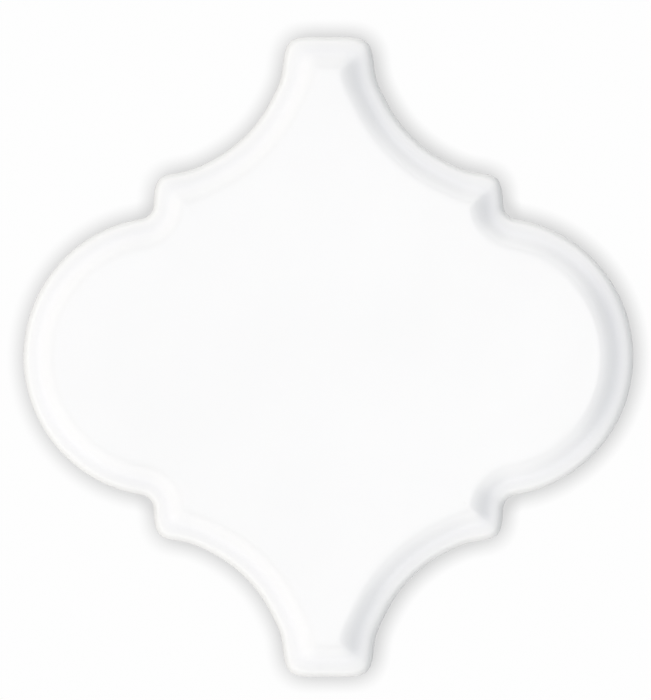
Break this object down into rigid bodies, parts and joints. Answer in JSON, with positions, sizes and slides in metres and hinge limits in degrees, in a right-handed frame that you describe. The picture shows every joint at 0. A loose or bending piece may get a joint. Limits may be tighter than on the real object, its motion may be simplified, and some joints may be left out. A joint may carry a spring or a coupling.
{
  "type": "moroccan arabesque tile",
  "caption": "Glazed ceramic tile with a lantern-shaped arabesque outline, a moulded ogee border and a keyed back, which interlocks with its neighbours to cover a wall.",
  "frame": {"origin": "middle of the tile's back", "axes": "+Z out of the glazed face, +Y towards the end of a neck, +X towards a bulb"},
  "size_m": [0.143, 0.15, 0.009],
  "materials": {
    "white_glaze": "gloss white glaze on the face and walls, bare fired body on the back"
  },
  "bodies": {
    "root": {"arabesque_tile": "white_glaze"}
  },
  "joints": []
}
